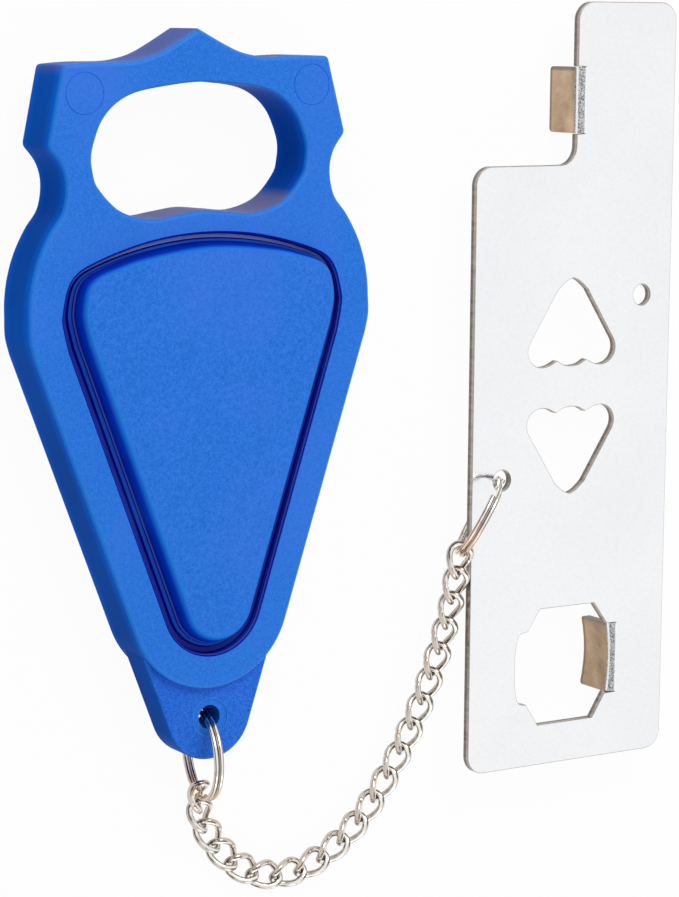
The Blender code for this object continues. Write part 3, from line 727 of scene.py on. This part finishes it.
# Measured from the sheet's upper left corner, across and down. Each claw is its top, its height
# and how far it is bowed; cutoutSide, cutoutLobes and cutoutMiddleLobe are the right half of a
# wedge slot, and the window's outlines are shares of the window.
plateSizes = {
    "corner": (0.06105, 0.06785), "front": 0.00645, "turn": math.radians(-1.684),
    "width": 0.0457, "height": 0.145, "thickness": 0.0016, "armWidth": 0.023,
    "shoulderDrop": 0.0303, "cornerRadius": 0.0035, "holeRadius": 0.002,
    "spareHole": (0.03885, 0.0554), "chainHole": (0.0068, 0.08906),
    "cutoutHalfWidth": 0.01015, "cutoutHeight": 0.01665, "cutoutMiddle": 0.02255,
    "mirrorDrop": 0.0721, "cutoutGap": 0.0078,
    "windowTop": 0.11458, "windowLeft": 0.0106, "windowRight": 0.0321, "windowHeight": 0.02257,
    "clawDepth": 0.00885, "bendRadius": 0.0004, "clawRound": 0.0008, "relief": 0.00012,
    "upperClaw": (0.0121, 0.01235, 0), "lowerClaw": (0.119, 0.0136, 0.0009),
    "lowerClawLeft": 0.0326, "edgeRound": 0.00014,
    "cutoutSide": [(0, 0), (0.12, 0.028), (0.22, 0.07), (0.34, 0.135)],
    "cutoutLobes": [(0.901, 0.664), (0.975, 0.74), (1, 0.808), (0.985, 0.87), (0.93, 0.93),
                    (0.86, 0.966), (0.8, 0.985), (0.68, 1), (0.52, 0.985), (0.335, 0.934)],
    "cutoutMiddleLobe": [(0.335, 0.934), (0.17, 0.985), (0, 1)],
    "windowBefore": [(0.265, 0), (0.856, 0), (1, 0.187)],
    "windowAfter": [(1, 0.79), (0.86, 1), (0.256, 1)],
    "levelShare": 0.3, "sharpOver": 40,
    "windowBite": [(0.126, 0.812), (0.053, 0.794), (0.019, 0.736), (0.002, 0.62), (0, 0.5),
                   (0.002, 0.38), (0.023, 0.245), (0.053, 0.2), (0.133, 0.183)],
}


def roundedLoop(corners, radius):
    # an outline through the corners, each of them rounded
    steps = fineness["plateCorner"]
    points = []
    for last, corner, following in zip(corners[-1:] + corners, corners, corners[1:] + corners[:1]):
        here = Vector(corner)
        before = (Vector(last) - here).normalized()
        after = (Vector(following) - here).normalized()
        half = before.angle(after) / 2
        centre = here + (before + after).normalized() * radius / math.sin(half)
        reach = radius / math.tan(half)
        start = here + before * reach - centre
        sweep = start.angle_signed(here + after * reach - centre)
        first = math.atan2(start.y, start.x)
        points += arc(centre, radius, [first - sweep * k / steps for k in range(steps + 1)])
    return points


def clawColumns(start, height):
    # places down a claw's root, closer together where its tip's corners are rounded
    parts = fineness["claw"]
    inset = [plateSizes["clawRound"] * (1 - math.cos(turn))
             for turn in quarterTurns(fineness["clawEnd"])]
    middle = [height * k / parts for k in range(1, parts)]
    return [start + p for p in inset + middle + [height - d for d in reversed(inset)]]


def plateLoops():
    # the sheet's outline and its openings, and which of their points carry the claws
    s = plateSizes
    armLeft, span = s["width"] - s["armWidth"], s["windowRight"] - s["windowLeft"]

    def inWindow(shares):
        return [(s["windowLeft"] + u * span, s["windowTop"] + v * s["windowHeight"])
                for u, v in shares]

    def notched(place, loop, name, root, edge, order=1):
        # takes the loop round a claw's notch in the edge; gives the points that carry the claw
        columns = clawColumns(*s[name][:2])
        root += s["bendRadius"] + s["thickness"]
        low, high = columns[0] - s["relief"], columns[-1] + s["relief"]
        notch = [(edge, low), *((root, v) for v in (low, *columns, high)), (edge, high)]
        first = len(loop) + 2
        loop += notch[::order]
        return place, range(first, first + len(columns)), s[name]

    outline = roundedLoop([(armLeft, 0), (s["width"], 0), (s["width"], s["height"]),
                           (0, s["height"]), (0, s["shoulderDrop"]),
                           (armLeft, s["shoulderDrop"])], s["cornerRadius"])
    window = inWindow(s["windowBefore"])
    claws = [notched(0, outline, "upperClaw", armLeft, armLeft, -1),
             notched(1, window, "lowerClaw", s["lowerClawLeft"], s["windowRight"])]
    window += inWindow(s["windowAfter"]) + smoothRun(inWindow(s["windowBite"]), fineness["bite"])

    side, lobes, middle = [smoothRun(s[name], fineness[name])
                           for name in ("cutoutSide", "cutoutLobes", "cutoutMiddleLobe")]
    whole = mirroredLoop(side + lobes + middle[1:])
    whole = [(u * s["cutoutHalfWidth"], v * s["cutoutHeight"]) for u, v in whole]
    away = s["cutoutGap"] / 2 + s["cutoutHeight"]
    openings = [[(s["cutoutMiddle"] + x, s["mirrorDrop"] + flip * (y - away)) for x, y in whole]
                for flip in (1, -1)]
    openings += [circleLoop(s[hole], s["holeRadius"]) for hole in ("spareHole", "chainHole")]
    return [outline, window] + openings, claws


def onPlate(point, back):
    # a place on the sheet, across and down, at a depth behind its front
    s = plateSizes
    turned = Matrix.Rotation(s["turn"], 3, "Z") @ Vector((point[0], -point[1], 0))
    return Vector((*s["corner"], s["front"] - back)) + turned


# The plate's materials, in makePlate's order; its faces have the first.
cutPaint, clawPaint, bendPaint = 1, 2, 3


def bendClaw(mesh, columns, out, height, bow):
    # a tab bent back from the sheet's edge; each column goes through the edge at one of its points
    s = plateSizes
    outerRadius = s["bendRadius"] + s["thickness"]
    count = len(columns) - 1
    sides = (outerRadius, s["bendRadius"])
    profile = [([(side * math.sin(turn), outerRadius - side * math.cos(turn)) for side in sides],
                turn / (math.pi / 2)) for turn in quarterTurns(fineness["clawBend"])[1:]]
    profile.append(([(side, s["clawDepth"]) for side in sides], 1))
    rows = [[(column[0], column[-1]) for column in columns]]
    for row, (places, grown) in enumerate(profile):
        pairs = []
        for column in columns:
            front = column[0].co
            along = (front - columns[0][0].co).length
            edge = min(along, height - along)
            lift = 0
            if row == len(profile) - 1 and edge < s["clawRound"]:
                short = s["clawRound"] - edge
                lift = s["clawRound"] - math.sqrt(max(s["clawRound"] ** 2 - short ** 2, 0))
            shift = bow * grown * (1 - (2 * along / height - 1) ** 2)
            pairs.append([mesh.verts.new(Vector((front.x, front.y, s["front"] - down + lift))
                                         + out * (reach - shift)) for reach, down in places])
        rows.append(pairs)
    for number, (near, far) in enumerate(zip(rows, rows[1:])):
        outer = bendPaint if number < len(profile) - 1 else clawPaint
        for k in range(count):
            for side, material in enumerate((outer, clawPaint)):
                mesh.faces.new((near[k][side], near[k + 1][side],
                                far[k + 1][side], far[k][side])).material_index = material
        for k in (0, count):
            wall = columns[k] if number == 0 else near[k]
            mesh.faces.new((*wall, far[k][1], far[k][0])).material_index = cutPaint
    for near, far in zip(rows[-1], rows[-1][1:]):
        mesh.faces.new((near[0], far[0], far[1], near[1])).material_index = cutPaint


def makePlate(materials):
    s = plateSizes
    loops, claws = plateLoops()
    bent = {place: marks for place, marks, claw in claws}
    edge, low = s["edgeRound"], s["edgeRound"] * s["levelShare"]
    levels = [(edge, 0), (low, low), (0, edge), (0, s["thickness"] - edge),
              (low, s["thickness"] - low), (edge, s["thickness"])]
    mesh = bmesh.new()
    walls = []
    for place, loop in enumerate(loops):
        inwards = -1 if place == 0 else 1
        marks = bent.get(place, range(0))
        rings = []
        for inset, depth in levels:
            moved = offsetLoop(loop, inwards * inset)
            if marks:
                unrounded = slice(marks[0] - 1, marks[-1] + 2)
                moved[unrounded] = loop[unrounded]
            rings.append([mesh.verts.new(onPlate(spot, depth)) for spot in moved])
        walls.append(rings)
        for near, far in zip(rings, rings[1:]):
            addWall(mesh, near, far, cutPaint, skipped=marks)
    fronts = [v for rings in walls for v in rings[0]]
    backs = [v for rings in walls for v in rings[-1]]
    flat = [[Vector((v.co.x, v.co.y, 0)) for v in rings[0]] for rings in walls]
    for a, b, c in tessellate_polygon(flat):
        mesh.faces.new((fronts[a], fronts[b], fronts[c]))
        mesh.faces.new((backs[c], backs[b], backs[a]))
    out = Matrix.Rotation(s["turn"], 3, "Z") @ Vector((-1, 0, 0))
    for place, marks, claw in claws:
        columns = [[ring[k] for ring in walls[place]] for k in marks]
        bendClaw(mesh, columns, out, *claw[1:])
    loose = [v for v in mesh.verts if not v.link_faces]
    bmesh.ops.delete(mesh, geom=loose, context="VERTS")
    bmesh.ops.recalc_face_normals(mesh, faces=mesh.faces)
    plate = addPiece("stampedPlate", mesh, materials)
    shade(plate, s["sharpOver"])
    dress(plate, "plate")


ringSizes = {"points": 900, "sides": 20, "wire": 0.0009, "radius": 0.0079, "spacing": 0.00094}

# The gap between the wire's two ends and where the wire starts, as angles from the ring's hole.
ringEnds = {"ring_handle": {"gap": 0.3, "jog": math.radians(200)},
            "ring_plate": {"gap": 0.85, "jog": math.radians(72)}}

linkSizes = {"points": 150, "sides": 14, "wire": 0.0012, "halfLength": 0.003325,
             "halfWidth": 0.0022, "twist": math.radians(-45), "fullness": 0.88,
             "seamDepth": 0.16, "seamWidth": 0.045}


def wireTree(name, sizes):
    # a geometry tree with an input for the material and for each size; gives their wires too
    tree = bpy.data.node_groups.new(name, "GeometryNodeTree")
    tree.interface.new_socket("Geometry", in_out="OUTPUT", socket_type="NodeSocketGeometry")
    kinds = {"material": "Material", "points": "Int", "sides": "Int"}
    labels = ["material", *sizes]
    for label in labels:
        kind = "NodeSocket" + kinds.get(label, "Float")
        tree.interface.new_socket(label, in_out="INPUT", socket_type=kind)
    graph = Graph(tree)
    source = tree.nodes.new("NodeGroupInput")
    return graph, {label: Wire(graph, source.outputs[label]) for label in labels}


def finishTree(graph, given, line, radiusShare, closed):
    # sweeps the wire's round section along the line
    section = graph.add("GeometryNodeCurvePrimitiveCircle", {"mode": "RADIUS"},
                        {"Resolution": given["sides"], "Radius": given["wire"] * 0.5})
    line = graph.add("GeometryNodeSetCurveRadius", {}, {"Curve": line, "Radius": radiusShare})
    radius = graph.add("GeometryNodeInputRadius", {}, {})
    swept = graph.add("GeometryNodeCurveToMesh", {},
                      {"Curve": line, "Profile Curve": section, "Fill Caps": not closed,
                       "Scale": radius})
    smooth = graph.add("GeometryNodeSetShadeSmooth", {}, {"Geometry": swept})
    real = graph.add("GeometryNodeRealizeInstances", {}, {"Geometry": smooth})
    painted = graph.add("GeometryNodeSetMaterial", {}, {"Geometry": real,
                                                        "Material": given["material"]})
    graph.fill(graph.tree.nodes.new("NodeGroupOutput"), {0: painted})
    return graph.tree


def makeLinkTree():
    # an oval of wire, twisted along its length, with the seam where its ends are joined
    graph, given = wireTree("twistedLink", linkSizes)

    def fuller(wave):
        # held nearer to its peaks, so that the oval is fuller
        return graph.maths("SIGN", wave) * abs(wave) ** given["fullness"]

    oval = graph.add("GeometryNodeCurvePrimitiveCircle", {"mode": "RADIUS"},
                     {"Resolution": given["points"], "Radius": 1})
    angle = graph.add("GeometryNodeSplineParameter", {}, {}, "Factor") * (2 * math.pi)
    along = fuller(graph.maths("COSINE", angle))
    width = fuller(graph.maths("SINE", angle)) * given["halfWidth"]
    twist = along * given["twist"]
    spot = graph.add("ShaderNodeCombineXYZ", {},
                     {0: along * given["halfLength"], 1: width * graph.maths("COSINE", twist),
                      2: width * graph.maths("SINE", twist)})
    line = graph.add("GeometryNodeSetPosition", {}, {"Geometry": oval, "Position": spot})
    seam = abs(angle - math.pi / 2) < given["seamWidth"]
    return finishTree(graph, given, line, 1 - seam * given["seamDepth"], closed=True)


def makeRingTree():
    # two turns of wire, with a jog from one level to the other
    graph, given = wireTree("splitRing", [*ringSizes, "gap", "jog"])
    straight = graph.add("GeometryNodeCurvePrimitiveLine", {}, {})
    fine = graph.add("GeometryNodeResampleCurve", {}, {"Curve": straight,
                                                       "Count": given["points"]})
    way = graph.add("GeometryNodeSplineParameter", {}, {}, "Factor")
    angle = way * (4 * math.pi - given["gap"])
    share = ((angle - 2 * math.pi + given["gap"]) / given["gap"]).limited()
    level = given["spacing"] * (share * share * (3 - 2 * share) - 0.5)
    turned = angle + given["jog"]
    spot = graph.add("ShaderNodeCombineXYZ", {},
                     {0: given["radius"] * graph.maths("COSINE", turned),
                      1: given["radius"] * graph.maths("SINE", turned), 2: level})
    line = graph.add("GeometryNodeSetPosition", {}, {"Geometry": fine, "Position": spot})
    return finishTree(graph, given, line, 1, closed=False)


def wirePiece(name, tree, values, body, place):
    # what the tree makes of the values, as a plain mesh at its place
    piece = addPiece(name, bmesh.new())
    piece.matrix_world = place
    made = piece.modifiers.new(tree.name, "NODES")
    made.node_group = tree
    for item in tree.interface.items_tree:
        if item.in_out == "INPUT":
            made[item.identifier] = values[item.name]
    settle(piece)
    dress(piece, body)


def placed(spot, along, side, up):
    # the matrix that puts x, y and z along the three directions
    return Matrix.Translation(spot) @ Matrix((along, side, up)).transposed().to_4x4()


def linkPlace(body):
    # a link's own axes, from how its solid's corners are spread: it is longest along itself
    corners = [tuple(v.co) for v in frame["nodes"][body].data.vertices]
    spots = np.unique(np.round(corners, 7), axis=0)
    spread = np.linalg.eigh(np.cov((spots - spots.mean(axis=0)).T))[1]
    along, side = Vector(spread[:, 2]), Vector(spread[:, 1])
    return placed(Vector(spots.mean(axis=0)), along, side, along.cross(side))


def ringPlace(joint, towards):
    # z along the ring's joint, and x towards its hole
    up = Vector(joint["axis"]).normalized()
    along = (towards - up * towards.dot(up)).normalized()
    return placed(Vector(joint["pos_m"]), along, up.cross(along), up)


def makeWires(linkNickel, ringNickel):
    ringTree, linkTree = makeRingTree(), makeLinkTree()
    centre = Vector(joints["ring_plate_slide_round"]["pos_m"])
    hole = Vector(joints["plate_swivel"]["pos_m"])
    for body, towards in (("ring_handle", Vector((0, 1, 0))), ("ring_plate", hole - centre)):
        values = {**ringSizes, **ringEnds[body], "material": ringNickel}
        place = ringPlace(joints[body + "_slide_round"], towards)
        wirePiece(body.replace("_", ""), ringTree, values, body, place)
    for body in sorted(name for name in frame["bodies"] if name.startswith("link_")):
        values = {**linkSizes, "material": linkNickel}
        wirePiece(body.replace("link_", "chainLink"), linkTree, values, body, linkPlace(body))


# The camera was fitted to the photo; the floor and the room are white where they are looked at.
studio = {
    "camera": (-0.24775, 0.07388, 0.45176), "right": (0.84742, -0.01627, 0.53068),
    "up": (0.09904, 0.98683, -0.12788), "focalPixels": 2941.4, "pictureHeight": 897,
    "sensor": 36, "clipStart": 0.01, "floorReach": 1.6, "floorShade": (0.9, 0.9, 0.9, 1),
    "floorRoughness": 0.9, "white": (1, 1, 1, 1), "ambient": 0.5, "whiteShare": 0.96,
    "lamps": [("keyLamp", (0.12, 0.65, 0.8), 0.5, 3.6), ("fillLamp", (0.15, -0.9, 0.5), 0.6, 1.4)],
    "aim": (0.03, 0, 0),
}


def makeCamera():
    s = studio
    data = bpy.data.cameras.new("camera")
    data.sensor_width = s["sensor"]
    data.lens = s["focalPixels"] * s["sensor"] / s["pictureHeight"]
    data.clip_start = s["clipStart"]
    camera = linked("camera", data)
    right, up = Vector(s["right"]), Vector(s["up"])
    camera.matrix_world = placed(s["camera"], right, up, right.cross(up))
    bpy.context.scene.camera = camera


def shownRays(graph):
    # 1 for what the camera, a reflection or a see-through part looks at
    camera, glossy, through = [graph.add("ShaderNodeLightPath", {}, {}, "Is %s Ray" % ray)
                               for ray in ("Camera", "Glossy", "Transmission")]
    return (camera + glossy + through).limited()


def makeStudio():
    s = studio
    world = bpy.data.worlds.new("paleRoom")
    world.use_nodes = True
    bpy.context.scene.world = world
    graph = Graph(world.node_tree)
    plain, white = [graph.add("ShaderNodeBackground", {}, {"Color": s["white"], "Strength": light})
                    for light in (s["ambient"], 1)]
    room = graph.add("ShaderNodeMixShader", {}, {0: shownRays(graph), 1: plain, 2: white})
    graph.fill(graph.tree.nodes["World Output"], {"Surface": room})

    for name, place, size, power in s["lamps"]:
        data = bpy.data.lights.new(name, "AREA")
        data.size = size
        data.energy = power
        lamp = linked(name, data)
        lamp.location = place
        lamp.rotation_euler = (Vector(place) - Vector(s["aim"])).to_track_quat("Z", "Y").to_euler()

    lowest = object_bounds()[0].z
    mesh = bmesh.new()
    reach = s["floorReach"]
    corners = [mesh.verts.new((x, y, lowest)) for x, y in
               ((-reach, -reach), (reach, -reach), (reach, reach), (-reach, reach))]
    mesh.faces.new(corners)
    floor = addPiece("paleFloor", mesh)
    paint = Paint("paleFloor", s, {"Base Color": s["floorShade"], "Roughness": s["floorRoughness"]})
    glow = paint.add("ShaderNodeEmission", {}, {"Color": s["white"], "Strength": 1})
    plain = Wire(paint, paint.shader.outputs[0])
    share = shownRays(paint) * s["whiteShare"]
    shown = paint.add("ShaderNodeMixShader", {}, {0: share, 1: plain, 2: glow})
    paint.fill(paint.tree.nodes["Material Output"], {"Surface": shown})
    floor.data.materials.append(paint.material)
    bpy.context.scene.view_settings.view_transform = "Standard"


makeHandle([makeBluePlastic(), makeGroovePlastic(), makeSidePlastic()])
print("handle made")
makePlate([makeSheetSteel(), makeCutSteel(), makeClawSteel(), makeBendSteel()])
print("plate made")
makeWires(makeLinkNickel(), makeRingNickel())
print("rings and links made")
makeCamera()
makeStudio()
print("studio made")
